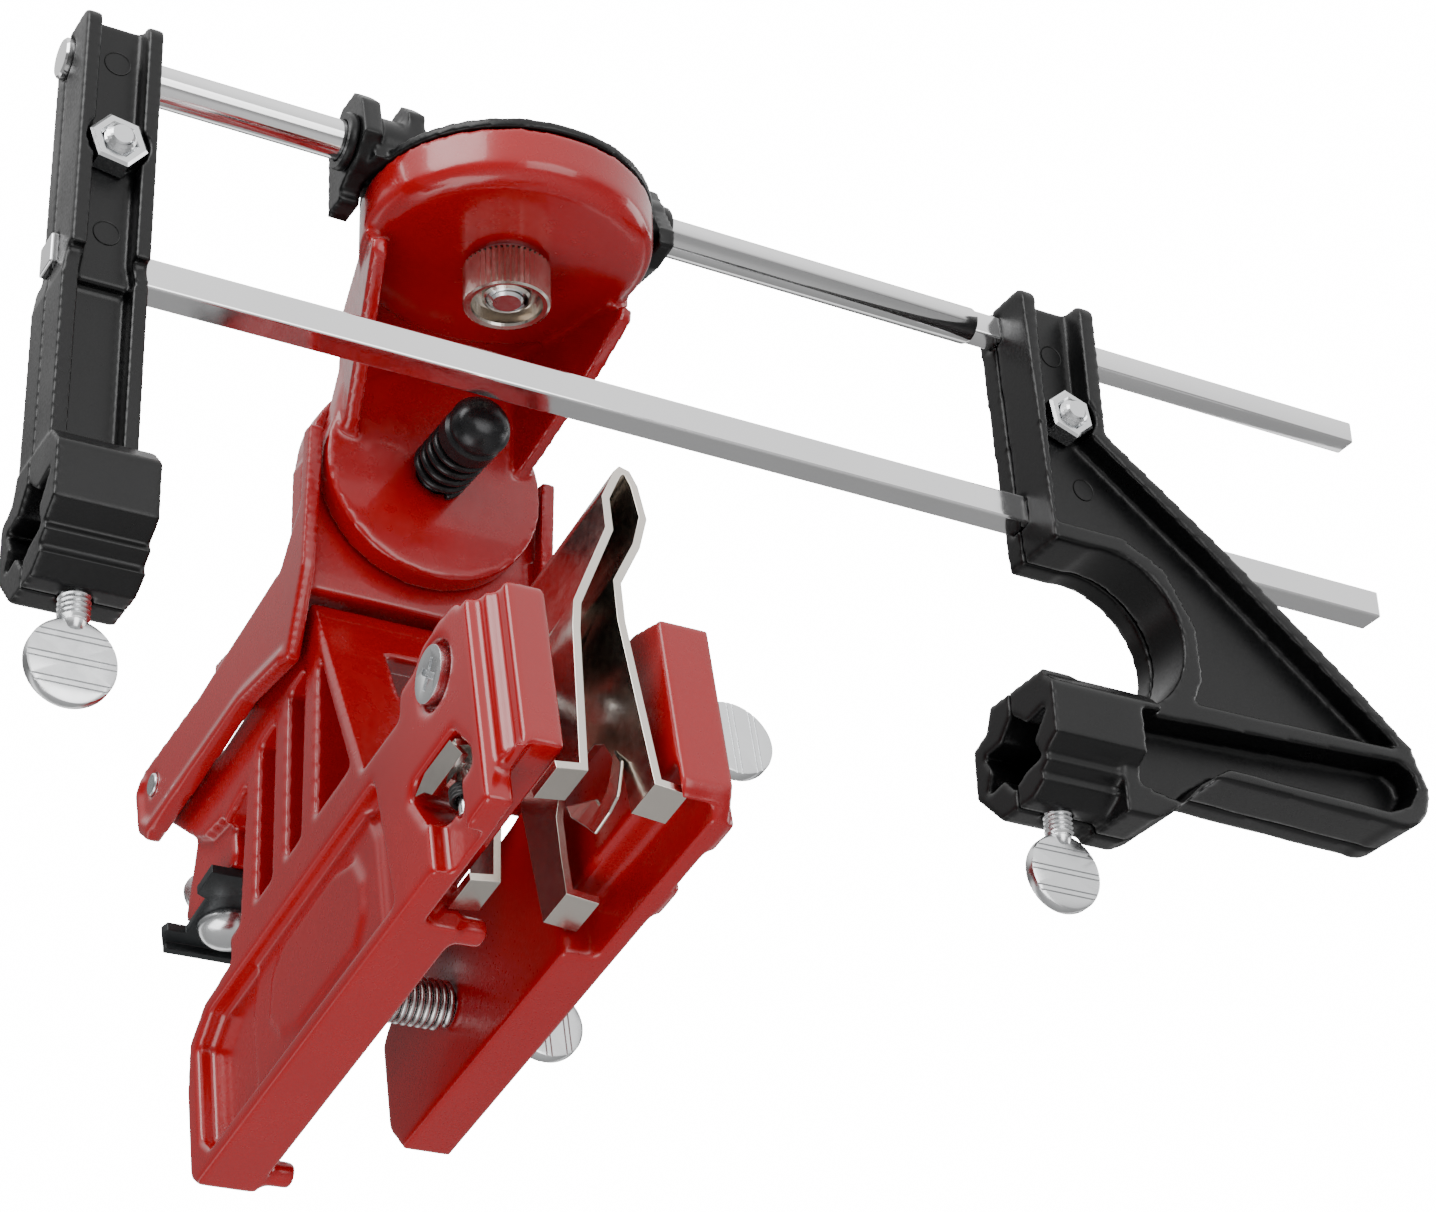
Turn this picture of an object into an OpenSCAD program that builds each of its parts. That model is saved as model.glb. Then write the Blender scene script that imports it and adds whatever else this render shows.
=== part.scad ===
// Clamp-on filing guide for a chainsaw chain.
// A cast clamp grips the saw bar. A hinged yoke, a tilting head and a turning dial
// carry two steel bars, and two plastic arms on the bars hold a round file.
// Millimetres. X runs along the two bars, Y along the saw bar, Z is up.
// The origin is the middle of the slot for the saw bar, at the jaws' lower edge.

/* [Bars and file arms] */
// Length of both steel bars
bar_length = 304.8; // [290:0.2:305]
// Side of the square bar
square_side = 6.4; // [6:0.1:6.6]
// Diameter of the round part of the upper rod
rod_d = 8; // [7.6:0.1:8]
// Distance between the axes of the two bars
bar_pitch = 44.9; // [44:0.1:46]

/* [Head] */
// Radius of the dial that the bars turn on
dial_r = 29; // [26:0.5:30]
// Thickness of the dial's rim
dial_t = 11.4; // [10:0.2:11.4]
// Radius of the tilting pad under the dial
pad_r = 23.4; // [22:0.2:23.4]
// Angle of the yoke below the level position, as shown
yoke_drop = 11.5; // [9:0.5:12]

/* [Clamp] */
// Space between the two jaws
slot = 20; // [19:0.5:21]
// Thickness of the left jaw's plate
left_jaw_t = 12.5; // [12:0.5:14]
// Thickness of the right jaw's plate
right_jaw_t = 10; // [9:0.5:11]
// Thickness of the spring clip's sheet
sheet_t = 1.6; // [1.2:0.1:1.8]

/* [Hidden] */
$fn = 48;

red = [0.72, 0.04, 0.05];
black = [0.09, 0.09, 0.1];
steel = [0.8, 0.81, 0.82];
nickel = [0.74, 0.7, 0.64];
zinc = [0.82, 0.84, 0.86];
dark = [0.2, 0.21, 0.22];

// The hinge pin of the yoke, along X
pin_y = 118.8;
pin_z = 96.5;
pin_d = 5;
// From the hinge pin to the plane of the bars and up to the square bar's axis
reach = 112.5;
bar_rise = 42.8;
// Ends of the bars and of the round part of the rod
bar_left = -92.6;
shank_start = 110;
shank_side = 5.4;
// Running clearance in bores
fit = 0.05;
left_in = -slot / 2;
left_out = left_in - left_jaw_t;
right_in = slot / 2;
right_out = right_in + right_jaw_t;
// Clamp screws, along X
front_y = 0;
front_z = 37.2;
rear_y = 68;
rear_z = 17;
screw_d = 6;
// Tilt axis of the head, along the bars' normal
pad_v = 32;
pad_w = -4;
pad_t = 6;
yoke_t = 6;
yoke_r = 25.6;
// Dial, measured from the square bar's axis
dial_bottom = 27;
dial_top = dial_bottom + dial_t;
rod_w = bar_pitch;
// Top of the head's walls, under the skirt of the rod guide
wall_top = 32.5;
// File arms
left_nut_x = -83.8;
right_nut_x = 126.6;
nut_w = 21.3;
file_w = -56;
left_screw_x = -82.8;
right_screw_x = 121.4;
block_bottom = -69;

// Puts the yoke's own frame, with the hinge pin at its origin, in place.
module in_yoke() {
  translate([0, pin_y, pin_z]) rotate([yoke_drop, 0, 0]) children();
}

// Frame of the bars: the square bar's axis is the X axis.
module in_bars() {
  in_yoke() translate([0, -reach, bar_rise]) children();
}

// Lifts a drawing in the Y-Z plane to a plate between two X positions.
module plate_x(x0, x1) {
  translate([x0, 0, 0]) rotate([90, 0, 90]) linear_extrude(x1 - x0) children();
}

// Lifts a drawing in the X-Z plane to a plate between two Y positions.
module plate_y(y0, y1) {
  translate([0, y1, 0]) rotate([90, 0, 0]) linear_extrude(y1 - y0) children();
}

// Round bar along X, Y or Z between two positions on that axis.
module rod_x(r, x0, x1) {
  translate([x0, 0, 0]) rotate([0, 90, 0]) cylinder(h = x1 - x0, r = r);
}
module rod_y(r, y0, y1) {
  translate([0, y0, 0]) rotate([-90, 0, 0]) cylinder(h = y1 - y0, r = r);
}
module rod_z(r, z0, z1) {
  translate([0, 0, z0]) cylinder(h = z1 - z0, r = r);
}

// Box between two corners.
module block(a, b) {
  translate(a) cube([b[0] - a[0], b[1] - a[1], b[2] - a[2]]);
}

// Sheet of thickness w bent along a list of points, drawn as one outline.
function unit(d) = d / norm(d);
function across(d) = [-d[1], d[0]];
function side_step(p, i, w) =
  let (a = unit(p[max(i, 1)] - p[max(i, 1) - 1]),
       b = unit(p[min(i + 1, len(p) - 1)] - p[min(i + 1, len(p) - 1) - 1]),
       m = unit(across(a) + across(b)))
  m * w / 2 / (m * across(a));
module sheet(p, w) {
  last = len(p) - 1;
  polygon(concat([for (i = [0 : last]) p[i] + side_step(p, i, w)],
    [for (i = [last : -1 : 0]) p[i] - side_step(p, i, w)]));
}

// Thumb screw with a flat round head, along Z, head at the bottom.
module thumb_screw(thread_r, length, head_r, neck) {
  rod_z(thread_r, 0, length);
  rod_z(thread_r * 0.8, -neck, 0.1);
  difference() {
    translate([0, 0, -neck - head_r + 1.5]) rod_y(head_r, -1.4, 1.4);
    for (i = [-1 : 1])
      for (side = [-1.6, 1.4])
        block([-head_r, side, -neck - head_r + i * 4.4 + 1.2],
          [head_r, side + 0.2, -neck - head_r + i * 4.4 + 1.8]);
  }
}

// Hexagon nut along Y, from y0 to y1, with a threaded hole.
module hex_nut(flats, hole_r, y0, y1) {
  difference() {
    translate([0, y0, 0]) rotate([-90, 0, 0]) cylinder(h = y1 - y0, d = flats / cos(30), $fn = 6);
    rod_y(hole_r, y0 - 1, y1 + 1);
  }
}

// Coil spring drawn as a row of rings along X, joined by a short bar.
module coil_x(r, wire_r, x0, x1, turns) {
  pitch = (x1 - x0 - 2 * wire_r) / turns;
  for (i = [0 : turns])
    translate([x0 + wire_r + i * pitch, 0, 0]) rotate([0, 90, 0])
      rotate_extrude() translate([r, 0]) circle(r = wire_r, $fn = 16);
  translate([0, 0, r]) rod_x(wire_r * 0.7, x0 + wire_r, x1 - wire_r);
}

// ---- Clamp ----

// Side view of the left jaw and the deck above it.
module jaw_side() {
  polygon([[-21, 0.5], [-8, 0], [115, 0], [118, 3], [118, 22], [116, 32], [108, 36.5],
    [94, 37.5], [94, 72], [104, 74], [110, 78], [113, 84], [108, 88], [46, 88], [31, 39],
    [15, 38.5], [14, 43.5], [7, 44.3], [4, 46.5], [-4, 47], [-10, 46], [-12, 44], [-21, 44]]);
}

// The left jaw with its ribs and paddle, the sloping wall and the deck in one casting.
module clamp_body() color(red) {
  difference() {
    union() {
      plate_x(left_out, left_in) jaw_side();
      // deck and sloping front wall
      plate_x(left_out, 22.5)
        polygon([[31, 39], [46, 88], [46.6, 90.6], [52, 90.9], [54, 88], [112, 88], [112, 83], [50, 83],
          [36, 39]]);
      // rear cheeks that carry the hinge pin
      for (x = [-22.5, 16.5]) plate_x(x, x + 6) difference() {
        union() {
          polygon([[92, 80], [112, 80], [126, 94], [124, 100], [112, 103], [104, 92], [92, 88]]);
          translate([pin_y, pin_z]) circle(r = 7);
        }
        translate([pin_y, pin_z]) circle(d = pin_d + 2 * fit);
      }
      // guide pegs on the inner face
      for (y = [25, 111]) translate([0, y, 2.6]) rod_x(2.6, left_in - 3, left_in + 5.5);
      // lug that carries the stop plate
      plate_x(-20, -7) polygon([[93, 84], [93, 66], [96, 62.3], [118, 62.3], [121.8, 65.6], [112, 84]]);
    }
    // the nose steps back on its outer side, with a groove beside the step
    block([left_out - 1, -30, -1], [left_out + 2.5, -14.5, 60]);
    block([left_out + 2.4, -22, 8], [left_out + 4.5, -17.5, 60]);
    block([left_out + 2.4, -30, -1], [-16.9, -14.5, 7.5]);
    // seat for the clip's left feet
    block([-17, -30, -1], [left_in + 1, 22, 9]);
    // pockets between the ribs
    for (p = [[[36, 43], [52, 43], [46, 76], [46.5, 80]], [[59, 43], [66, 43], [60, 78], [52, 78]],
        [[73, 43], [81, 43], [75, 76], [67, 76]], [[89, 43], [94.5, 43], [94.5, 70], [82, 72]]])
      plate_x(left_out - 1, left_in - 4) polygon(p);
    // paddle recess
    plate_x(left_out - 1, left_out + 4)
      polygon([[23, 4], [108, 4], [112, 8], [112, 29], [105, 33], [27, 33]]);
    // counterbore and hole for the clip screw
    translate([0, front_y, front_z]) rod_x(6.4, left_out - 1, left_out + 3);
    translate([0, front_y, front_z]) rod_x(screw_d / 2 + fit, left_out, left_in + 1);
    // blind threaded hole for the rear clamp screw
    translate([0, rear_y, rear_z]) rod_x(screw_d / 2 + fit, left_out + 5.8, left_in + 1);
    // window for the chain pawl
    plate_x(left_out - 1, left_in + 1)
      polygon([[-10, 10.4], [8, 10.4], [13.4, 19.5], [11.4, 22], [-4.5, 22], [-10, 14]]);
    block([left_out - 1, -5.5, -1], [left_out + 3.6, 7, 12]);
    // square window in the sloping wall
    block([-9, 25, 64], [6, 50, 78]);
    // holes for the stop plate's screw and the lock screw
    translate([-14, 113.5, 0]) rod_z(2.5 + fit, 55, 72.6);
    translate([-13.5, 0, 75]) rod_y(2 + fit, 108, 130);
    // hole for the pawl's pin
    translate([left_out + 5, 2, 0]) rod_z(1.5 + fit, 9, 28);
  }
}

// The sliding right jaw.
module right_jaw() color(red) {
  difference() {
    union() {
      plate_x(right_in, right_out)
        polygon([[-24, 5], [-21, 0], [92, 0], [97, 7], [97, 26], [88, 33.4], [30, 38], [24, 40.6],
          [-14, 44], [-24, 40]]);
      // feet on the outer side and a round boss for the front clamp screw
      for (y = [-20, 0]) plate_x(right_out - 1, right_out + 1.8)
        polygon([[y, 0.5], [y + 8, 0.5], [y + 8, 6], [y + 3, 12], [y, 12]]);
      translate([0, front_y, front_z - 4]) rod_x(8, right_out - 1, right_out + 3);
    }
    for (p = [[front_y, front_z], [rear_y, rear_z]])
      translate([0, p[0], p[1]]) rod_x(screw_d / 2 + fit, right_in - 5, right_out + 10);
    // step for the clip's right feet
    block([right_in - 1, -22.4, -1], [right_in + 6.5, 22.5, 9.8]);
  }
}

// Folded sheet clip between the jaws.
module bar_clip() color(nickel) {
  intersection() {
    plate_y(-21.6, 21.4)
      sheet([[-12.8, 4.6], [-7.4, 5.3], [-6.4, 21], [-5.2, 36], [-4.3, 42], [0.9, 53.3], [4.4, 61.4],
        [4.6, 69], [7.7, 75.6], [8.7, 76.8], [9.9, 76.4], [11, 73.5], [11.8, 66], [9.5, 58.8], [4.4, 49],
        [4.1, 40], [6.7, 5.5], [12.6, 4.8]], sheet_t);
    // the sheet narrows to the top, with arches between the feet and holes for both screws
    plate_x(-20, 20) difference() {
      polygon([[-21.6, 0], [21.4, 0], [21.4, 30], [14.4, 55], [14.4, 90], [-21.6, 90]]);
      polygon([[-12.6, -1], [12.6, -1], [11.6, 12], [10.5, 20], [7.5, 24], [-6, 24], [-9, 22],
        [-12.9, 12.7]]);
    }
    difference() {
      block([-30, -30, 0], [30, 30, 90]);
      translate([0, front_y, front_z]) rod_x(screw_d / 2 + fit, -31, 0);
      translate([0, front_y, front_z]) rod_x(screw_d / 2 + 0.6, -0.1, 31);
    }
  }
}

// Cross-head screw through the left jaw.
module clip_screw() color(zinc) translate([0, front_y, front_z]) {
  difference() {
    union() {
      rod_x(5.4, left_out - 1, left_out + 2.9);
      rod_x(screw_d / 2 - 0.02, left_out + 2.8, left_in + 6.5);
    }
    for (turn = [45, 135]) rotate([turn, 0, 0])
      block([left_out - 2, -3, -0.6], [left_out + 0.4, 3, 0.6]);
  }
}

// Thumb screws that draw the jaws together.
module clamp_screw(y, z, shoulder, tip, neck) {
  translate([0, y, z]) rotate([0, -90, 0])
    translate([0, 0, -shoulder]) thumb_screw(screw_d / 2 - 0.02, shoulder - tip, 8.2, neck);
}
module front_clamp_screw() color(zinc) clamp_screw(front_y, front_z, right_out + 3.1, 6, 7.6);
module rear_clamp_screw() color(zinc) clamp_screw(rear_y, rear_z, right_out + 0.3, left_out + 9, 3);

// Return spring around the rear clamp screw.
module rear_jaw_spring() color(steel)
  translate([0, rear_y, rear_z]) coil_x(4.2, 0.75, left_in + 0.1, right_in - 0.1, 11);

// Stamped pawl that stops the chain.
module chain_pawl() color(nickel) difference() {
  union() {
    plate_y(-4, 7)
      sheet([[left_out + 1, 19.8], [left_out + 3.5, 20.6], [left_out + 9, 15.5], [left_in - 1, 13.6]], 1.4);
    // flat tab that shows in the jaw's window
    plate_x(left_out + 0.6, left_out + 1.8)
      polygon([[-6.6, 15.4], [-2.6, 21.2], [7.6, 21.4], [12, 19.4], [8.4, 17.8], [5.8, 15.4]]);
    translate([left_out + 5, 2, 0]) rod_z(2.6, 18.6, 21.6);
  }
  translate([left_out + 5, 2, 0]) rod_z(1.5, 0, 40);
}
module pawl_pin() color(steel) translate([left_out + 5, 2, 0]) rod_z(1.45, 9.2, 27.8);
module pawl_spring() color(dark) translate([left_out + 5, 2, 0]) {
  for (i = [0 : 2]) translate([0, 0, 12.3 + i * 1.3])
    rotate_extrude() translate([2.4, 0]) circle(r = 0.55, $fn = 16);
  translate([2.4, 0, 0]) rod_z(0.4, 12.3, 14.9);
}

// Bent stop plate under the lug, its screw and the lock screw behind it.
module stop_plate() color(dark) difference() {
  union() {
    translate([0, 0, 60.2]) linear_extrude(2)
      polygon([[-24, 97], [-6, 97], [-6, 124], [-24, 124], [-25.6, 120.4], [-25, 118.4], [-21, 118.4],
        [-21, 106.5], [-24, 105]]);
    block([-24, 122.2, 58.4], [-6, 124, 60.3]);
  }
  translate([-14, 113.5, 0]) rod_z(2.5 + fit, 50, 70);
}
module stop_plate_screw() color(zinc) translate([-14, 113.5, 0]) {
  rod_z(6.4, 56.4, 60.1);
  rod_z(2.47, 60, 72);
}
module lock_screw() color(zinc) translate([-13.5, 0, 75]) {
  rod_y(1.97, 110.5, 124);
  rod_y(5.2, 123.9, 127);
}
module hinge_pin() color(steel) translate([0, pin_y, pin_z]) rod_x(pin_d / 2, -27.6, 27.6);

// ---- Yoke and head ----

// Side view of one leg of the yoke, with the hinge pin at the origin.
module yoke_leg() {
  polygon([[-80, 44], [-76, 44], [-75.5, 28], [-66, 17.5], [-23, 9.2], [6, 6], [10, 2], [8, -8], [2, -12],
    [-49, -3.5], [-71, -4.5], [-78, 13]]);
}

module swing_yoke() color(red) in_yoke() {
  difference() {
    union() {
      for (x = [-27, 24]) plate_x(x, x + 3) yoke_leg();
      // raised borders of the legs
      for (x = [-27.8, 26.8]) plate_x(x, x + 1)
        sheet([[-69, -3], [-48, -2.2], [1, -9.6], [5.4, -7], [7.8, 1.2], [5.4, 3.4]], 2.4);
      // round face behind the head, with its floor
      translate([0, 0, bar_rise + pad_w])
        rod_y(yoke_r, -reach + pad_v + pad_t + 0.3, -reach + pad_v + pad_t + yoke_t);
      block([-26, -reach + pad_v + pad_t + 0.3, 10],
        [26, -reach + pad_v + pad_t + yoke_t, bar_rise + pad_w]);
      block([-26, -74, 10], [26, -30, 14]);
      block([-26, -33, 6], [26, -30, 14]);
      translate([0, -38, 0]) rod_z(5.5, 9, 18);
    }
    rod_x(pin_d / 2 - 0.001, -30, 30);
    translate([0, 0, bar_rise + pad_w]) rod_y(4 + fit, -100, -60);
    // opening in the floor and the threaded hole of the height screw
    block([-14, -66, 0], [14, -46, 20]);
    translate([0, -38, 0]) rod_z(2.5 + fit, 0, 20);
  }
}

// Screw through the yoke's floor that rests on the deck and sets the file's height.
module height_screw() color(zinc) in_yoke() translate([0, -38, 0]) {
  rod_z(2.47, -0.3, 20);
  rod_z(6, 19.9, 26);
}

module tilt_nut() color(steel) in_bars() translate([0, 0, pad_w])
  hex_nut(13, 4 + fit, pad_v + pad_t + yoke_t + 0.02, pad_v + pad_t + yoke_t + 6.5);

module tilt_screw() color(black) in_bars() translate([0, 0, pad_w]) difference() {
  union() {
    rod_y(3.97, pad_v - 16, pad_v + pad_t + yoke_t + 8);
    rod_y(6.3, pad_v - 22, pad_v - 14);
    translate([0, pad_v - 22, 0]) rotate([90, 0, 0]) rotate_extrude()
      intersection() { translate([0, -7.4]) circle(r = 9.7); square([6.3, 10]); }
  }
  translate([0, pad_v - 30, 0]) rotate([-90, 0, 0]) cylinder(h = 9, r = 2.9, $fn = 6);
}

module tilt_spring() color(black) in_bars() translate([0, 0, pad_w])
  rotate([0, 0, 90]) coil_x(5.4, 0.9, pad_v - 13.9, pad_v - 0.1, 5);

module head_bracket() color(red) in_bars() {
  difference() {
    union() {
      rod_z(dial_r, dial_bottom, dial_top);
      translate([0, 0, pad_w]) rod_y(pad_r, pad_v, pad_v + pad_t);
      // back plate from the pad up to the dial
      plate_y(pad_v + 0.5, pad_v + pad_t)
        polygon([[-22.4, pad_w + 6], [22.4, pad_w + 6], [19.5, 18], [18.5, wall_top], [-18.5, wall_top],
          [-19.5, 18]]);
      block([-18.5, 10, dial_bottom + 1], [18.5, pad_v + pad_t, wall_top]);
      // side walls from the dial's rim to the back plate
      for (side = [0, 1]) mirror([side, 0, 0]) translate([28.4, 1, 0]) rotate([0, 0, 14.5])
        plate_x(-3.2, 0) polygon([[-1, dial_bottom + 0.5], [0, 22], [10, 14], [20, 8], [29, 2], [37, -2],
          [37, wall_top], [-1, wall_top]]);
    }
    rod_z(4 + fit, dial_bottom - 5, dial_top + 5);
    translate([0, 0, pad_w]) rod_y(4 + fit, 0, 60);
  }
}

// ---- Dial fastening and rod guide ----

module knurled_nut() color(steel) in_bars() difference() {
  union() {
    rod_z(8.2, 17, dial_bottom - 1.1);
    for (i = [0 : 31]) rotate([0, 0, i * 11.25]) translate([8.1, 0, 0])
      rod_z(0.5, 17.6, dial_bottom - 1.6, $fn = 8);
  }
  rod_z(4 + fit, 10, 40);
  difference() {
    rod_z(7, 15, 20.5);
    rod_z(4.9, 15, 20.6);
  }
  rod_z(4.8, 15, 18.4);
}
module lock_washer() color(steel) in_bars() difference() {
  rod_z(7.2, dial_bottom - 1.05, dial_bottom - 0.02);
  rod_z(4 + fit, 10, 40);
}
module dial_bolt() color(steel) in_bars() {
  rod_z(3.97, 17.8, dial_top + 0.9);
  rod_z(7, dial_top + 0.85, dial_top + 2.1);
}

module rod_guide() color(black) in_bars() difference() {
  union() {
    // flange that lies on the dial
    rod_z(dial_r, dial_top + 0.3, dial_top + 2.4);
    // body around the rod
    block([-31, -6, dial_top + 0.5], [30, 8, rod_w + 1]);
    translate([0, 0, rod_w]) rod_x(6.5, -34, 33);
    // end walls and fins
    plate_x(-34, -30)
      polygon([[-8, 43], [-5, 41], [10, 33.5], [10.5, 47], [8, 53], [4, 56], [-2, 56], [-6, 52]]);
    block([-34, 4, 34], [-29.6, 10, 41]);
    plate_x(-24, -20.5) polygon([[-7, 38.5], [9, 38.5], [7, 53], [3, 56], [-2, 56], [-6, 52]]);
    plate_x(29.5, 33)
      polygon([[-9.5, 39], [-9, 35.5], [-2, 34.5], [10, 36], [9, 46], [6, 52], [1, 55.5], [-3, 53]]);
    plate_x(20.5, 24) polygon([[-7, 38.5], [9, 38.5], [7, 52], [3, 55], [-2, 55], [-6, 50]]);
    block([-31, -2, rod_w + 4], [-22, 6, rod_w + 7]);
  }
  translate([0, 0, rod_w]) rod_x(5 + fit, -40, 40);
  // seat for the head of the dial bolt
  rod_z(7.05, dial_top, dial_top + 2.15);
  // clear of the dial
  rod_z(dial_r + 0.4, 20, dial_top + 0.3);
}
module sleeve(x0, x1) difference() {
  rod_x(5, x0, x1);
  rod_x(rod_d / 2 + fit, x0 - 1, x1 + 1);
}
module guide_sleeve_left() color(black) in_bars() translate([0, 0, rod_w]) {
  sleeve(-36, -18);
  difference() {
    rod_x(5.8, -36, -34.1);
    rod_x(rod_d / 2 + fit, -40, 0);
  }
}
module guide_sleeve_right() color(black) in_bars() translate([0, 0, rod_w]) {
  sleeve(18, 35);
  difference() {
    rod_x(5.8, 33.1, 35);
    rod_x(rod_d / 2 + fit, 0, 40);
  }
}

// ---- Bars ----

module round_rod() color(steel) in_bars() translate([0, 0, rod_w]) {
  rod_x(rod_d / 2, bar_left, shank_start);
  block([shank_start - 1, -shank_side / 2, -shank_side / 2],
    [bar_left + bar_length, shank_side / 2, shank_side / 2]);
}
module square_bar() color(steel) in_bars()
  block([bar_left, -square_side / 2, -square_side / 2],
    [bar_left + bar_length, square_side / 2, square_side / 2]);

// ---- Left file arm ----

// Six-pointed opening that takes the file, along X.
module file_socket(x0, x1) {
  translate([0, 0, file_w]) plate_x(x0, x1)
    polygon([[-12.5, 5], [-5, 4], [0, 8], [4.5, 3.5], [10.5, 3], [8, -1], [10, -5.5], [4, -5], [1, -8.4],
      [-4, -6], [-9, -5.5], [-7, -1]]);
}
// Profile of the file block, in the Y-Z plane of the bars.
module block_side() {
  polygon([[-15, -47], [-11, -43], [7, -43], [9, -48], [14, -50], [14, -61], [9, -66], [6, block_bottom],
    [-5, block_bottom], [-9.5, -66.5], [-8.8, -64.5], [-11.5, -63], [-10.8, -61], [-15, -58.5]]);
}
// Holes shared by both halves of an arm.
module arm_holes(nut_x, screw_x) {
  block([-200, -square_side / 2 - fit, -square_side / 2 - fit],
    [300, square_side / 2 + fit, square_side / 2 + fit]);
  translate([nut_x, 0, nut_w]) rod_y(3.05, -20, 20);
  translate([nut_x, 0, nut_w]) rod_y(5.95, -20, -6.5);
  translate([screw_x, 0, 0]) rod_z(3.05, block_bottom - 5, file_w);
}
module left_half(v0, v1) {
  difference() {
    union() {
      plate_y(v0 > -1 ? 0.15 : -11, v0 > -1 ? 5.5 : -0.15)
        polygon([[-91.3, 50.5], [-76.3, 50.5], [-76.3, -3], [-91.3, -3]]);
      plate_y(v0 > -1 ? 0.15 : -9, v0 > -1 ? 8 : -0.15)
        polygon([[-91.3, -2.9], [-76.3, -2.9], [-75.8, -8], [-75.8, -46], [-92, -46], [-92, -8]]);
      intersection() {
        plate_x(-92.5, -73.5) block_side();
        block([-100, v0, -90], [-60, v1, -30]);
      }
    }
    file_socket(-100, -60);
    arm_holes(left_nut_x, left_screw_x);
    translate([0, 0, rod_w]) rod_x(rod_d / 2 + fit, -100, -60);
  }
}
module left_arm() color(black) in_bars() difference() {
  left_half(-20, -0.15);
  // channel in the front
  plate_y(-20, -6.5)
    polygon([[-88.3, 60], [-79.3, 60], [-79.3, -3], [-78.3, -8], [-88.9, -8], [-88.3, -3]]);
  plate_y(-20, -4.5) polygon([[-88.9, -7.9], [-78.8, -7.9], [-78.8, -43], [-89, -43]]);
}
module left_arm_back() color(black) in_bars() left_half(0.15, 20);

// Hexagon bolt and nut that pinch an arm on the bars.
module arm_bolt(x) translate([x, 0, nut_w]) {
  rod_y(2.97, -13.2, 9);
  translate([0, 5.6, 0]) rotate([-90, 0, 0]) cylinder(h = 3.6, d = 10 / cos(30), $fn = 6);
}
module left_arm_bolt() color(zinc) in_bars() arm_bolt(left_nut_x);
module left_arm_nut() color(zinc) in_bars() translate([left_nut_x, 0, nut_w]) rotate([0, 10, 0])
  hex_nut(9.9, 3, -11.4, -6.55);
module left_file_screw() color(zinc) in_bars() translate([left_screw_x, 0, block_bottom - 1])
  thumb_screw(2.97, 11, 8.2, 4.5);

// ---- Right file arm ----

// Outline of the right arm seen from the front.
module right_outline() difference() {
  union() {
    polygon([[116, 50.5], [134.5, 50.5], [134.5, 18], [162, -2.6], [193, -27.8], [207, -40.5], [210, -50],
      [203, -60], [154, -58.6], [141, -69], [137, -71], [112, -71], [112, -43],
        [118, -43], [140, -45], [144, -20],
      [119, -13]]);
    translate([200.5, -50.5]) circle(r = 9.6);
  }
  // deep C-shaped relief beside the file
  translate([131, -29]) circle(r = 18);
  polygon([[100, -11], [128, -11.3], [134, -30], [128, -42.5], [100, -42.5]]);
}
module right_half(v0, v1, w0, w1) {
  difference() {
    union() {
      plate_y(w0, w1) intersection() {
        right_outline();
        union() {
          translate([100, -46]) square([120, 110]);
          translate([130, -75]) square([90, 40]);
        }
      }
      intersection() {
        plate_x(112, 139) block_side();
        block([90, v0, -90], [150, v1, -30]);
      }
    }
    file_socket(100, 131);
    arm_holes(right_nut_x, right_screw_x);
    block([100, -shank_side / 2 - fit, rod_w - shank_side / 2 - fit],
      [150, shank_side / 2 + fit, rod_w + shank_side / 2 + fit]);
  }
}
module right_arm() color(black) in_bars() difference() {
  right_half(-20, -0.15, -12, -0.15);
  // channel between the two bars, open to the three-cornered pocket
  plate_y(-20, -6)
    polygon([[119.5, 60], [131, 60], [131, 16.5], [158.5, -4.5], [189, -29.3], [202, -39.6], [203.4, -41.3],
    [150, -42.4], [153, -36], [152.5, -24], [146, -12], [136, -7], [119.5, -7]]);
  // long pocket in the lower beam
  plate_y(-20, -5)
    polygon([[134, -48.2], [203, -44.6], [206.3, -46.6], [207.2, -50], [204.5, -54.4], [198.8, -56.8],
      [157, -55.8], [149.3, -60.8], [144, -66], [134, -64]]);
}
module right_arm_back() color(black) in_bars() right_half(0.15, 20, 0.15, 5.5);
module right_arm_bolt() color(zinc) in_bars() arm_bolt(right_nut_x);
module right_arm_nut() color(zinc) in_bars() translate([right_nut_x, 0, nut_w]) rotate([0, 20, 0])
  hex_nut(9.9, 3, -11.4, -6.55);
module right_file_screw() color(zinc) in_bars() translate([right_screw_x, 0, block_bottom - 1])
  thumb_screw(2.97, 11, 8.2, 4.5);

clamp_body();
right_jaw();
bar_clip();
clip_screw();
front_clamp_screw();
rear_clamp_screw();
rear_jaw_spring();
chain_pawl();
pawl_pin();
pawl_spring();
stop_plate();
stop_plate_screw();
lock_screw();
hinge_pin();
swing_yoke();
height_screw();
tilt_nut();
tilt_screw();
tilt_spring();
head_bracket();
knurled_nut();
lock_washer();
dial_bolt();
rod_guide();
guide_sleeve_left();
guide_sleeve_right();
round_rod();
square_bar();
left_arm();
left_arm_back();
left_arm_bolt();
left_arm_nut();
left_file_screw();
right_arm();
right_arm_back();
right_arm_bolt();
right_arm_nut();
right_file_screw();
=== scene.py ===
from math import cos, pi, radians, sin

import bmesh
import bpy
from mathutils import Matrix, Vector


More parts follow.
